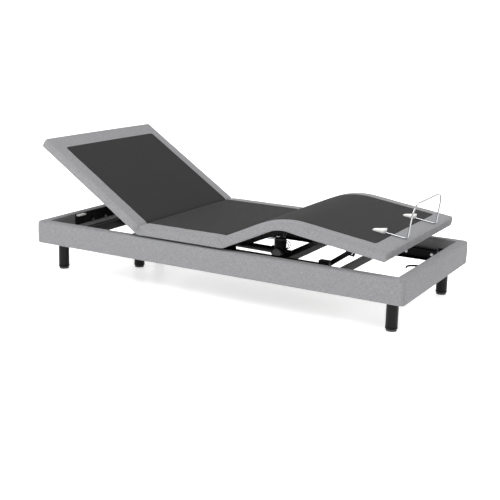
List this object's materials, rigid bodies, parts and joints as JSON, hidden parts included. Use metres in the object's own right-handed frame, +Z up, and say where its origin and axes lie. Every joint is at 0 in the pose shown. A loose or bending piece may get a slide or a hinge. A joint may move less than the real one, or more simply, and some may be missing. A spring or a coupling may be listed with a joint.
{
  "type": "adjustable bed base",
  "caption": "Adjustable bed base: upholstered frame on round legs, gliding seat carriage, raised head panel, bent thigh and calf panels, chrome mattress retainer.",
  "frame": {"origin": "on the floor under the centre of the upholstered frame", "axes": "+X from head to foot, +Y towards the far long side, +Z up"},
  "size_m": [2, 0.9, 0.6902],
  "materials": {
    "pale_fabric": "matte",
    "dark_cloth": "matte",
    "board_wood": "matte",
    "black_steel": "satin",
    "leg_lacquer": "gloss",
    "zinc_steel": "satin",
    "pale_plastic": "satin",
    "black_plastic": "matte",
    "grey_plastic": "matte",
    "chrome_bar": "gloss"
  },
  "bodies": {
    "base": {"rail_upholstery": "pale_fabric", "side_rail_cores": "board_wood", "end_rail_cores": "board_wood", "side_channels": "black_steel", "base_tubes": "black_steel", "corner_brackets": "black_steel", "frame_bolts": "zinc_steel", "corner_legs": "leg_lacquer", "middle_legs": "leg_lacquer", "leg_glides": "grey_plastic", "leg_studs": "zinc_steel", "head_end_plate": "black_steel", "edge_clip": "pale_plastic", "power_supply": "black_plastic", "mains_inlet": "black_plastic", "cable_hook": "black_plastic"},
    "carriage": {"carriage_side_tubes": "black_steel", "carriage_cross_tubes": "black_steel", "carriage_end_blocks": "black_plastic", "glide_brackets": "black_steel", "glide_blocks": "pale_plastic", "seat_spacers": "black_plastic", "seat_board": "board_wood", "seat_pad": "pale_fabric", "seat_cloth": "dark_cloth", "carriage_leaves": "black_steel", "carriage_pins": "zinc_steel", "drive_brackets": "black_steel", "control_box": "black_plastic"},
    "head_panel": {"head_board": "board_wood", "head_pad": "pale_fabric", "head_cloth": "dark_cloth", "head_subframe": "black_steel", "head_leaves": "black_steel", "head_lever": "black_steel"},
    "thigh_panel": {"thigh_board": "board_wood", "thigh_pad": "pale_fabric", "thigh_cloth": "dark_cloth", "thigh_subframe": "black_steel", "thigh_leaves": "black_steel", "thigh_lever": "black_steel", "knee_pins": "zinc_steel"},
    "calf_panel": {"calf_board": "board_wood", "calf_pad": "pale_fabric", "calf_cloth": "dark_cloth", "calf_subframe": "black_steel", "calf_leaves": "black_steel", "link_brackets": "black_steel", "retainer_bar": "chrome_bar", "retainer_clips": "pale_plastic"},
    "calf_link": {"link_arms": "black_steel", "link_shaft": "zinc_steel"},
    "head_drive": {"head_actuator": "black_plastic", "head_motor": "grey_plastic", "motor_leads": "black_plastic"},
    "head_drive_rod": {"head_rod": "zinc_steel"},
    "foot_drive": {"foot_actuator": "black_plastic", "foot_motor": "grey_plastic"},
    "foot_drive_rod": {"foot_rod": "zinc_steel"}
  },
  "joints": [
    {"name": "head_tilt", "type": "hinge", "parent": "carriage", "child": "head_panel", "pos_m": [-0.362, 0, 0.3], "axis": [0, 1, 0], "range_deg": [-33, 22]},
    {"name": "thigh_tilt", "type": "hinge", "parent": "carriage", "child": "thigh_panel", "pos_m": [0.1018, 0, 0.3], "axis": [0, -1, 0], "range_deg": [-24.4, 13.6]},
    {"name": "carriage_glide", "type": "slide", "parent": "base", "child": "carriage", "axis": [1, 0, 0], "range_m": [-0.04383, 0.0655]},
    {"name": "knee_bend", "type": "hinge", "parent": "thigh_panel", "child": "calf_panel", "pos_m": [0.3901, 0, 0.40882], "axis": [0, 1, 0], "range_deg": [-33, 18.53]},
    {"name": "calf_link_swing", "type": "hinge", "parent": "carriage", "child": "calf_link", "pos_m": [0.588, 0, 0.24], "axis": [0, -1, 0], "range_deg": [-40.59, 22.76]},
    {"name": "head_drive_pitch", "type": "hinge", "parent": "carriage", "child": "head_drive", "pos_m": [0.32, -0.145, 0.222], "axis": [0, -1, 0], "range_deg": [-1.79, 2.54]},
    {"name": "head_drive_stroke", "type": "slide", "parent": "head_drive", "child": "head_drive_rod", "axis": [-0.9999, 0, 0.0108], "range_m": [-0.04249, 0.02849]},
    {"name": "foot_drive_pitch", "type": "hinge", "parent": "carriage", "child": "foot_drive", "pos_m": [-0.39, 0.08, 0.222], "axis": [0, -1, 0], "range_deg": [-2.18, 1.35]},
    {"name": "foot_drive_stroke", "type": "slide", "parent": "foot_drive", "child": "foot_drive_rod", "axis": [1, 0, 0.0041], "range_m": [-0.03482, 0.01963]}
  ],
  "couplings": [
    {"joint": "carriage_glide", "follows": "head_tilt", "m_per_rad": -0.11286},
    {"joint": "head_drive_pitch", "follows": "head_tilt", "ratio": -0.0679},
    {"joint": "head_drive_stroke", "follows": "head_tilt", "m_per_rad": 0.0729},
    {"joint": "knee_bend", "follows": "thigh_tilt", "ratio": 1.3402},
    {"joint": "calf_link_swing", "follows": "thigh_tilt", "ratio": 1.6512},
    {"joint": "foot_drive_pitch", "follows": "thigh_tilt", "ratio": 0.077},
    {"joint": "foot_drive_stroke", "follows": "thigh_tilt", "m_per_rad": 0.0806}
  ]
}
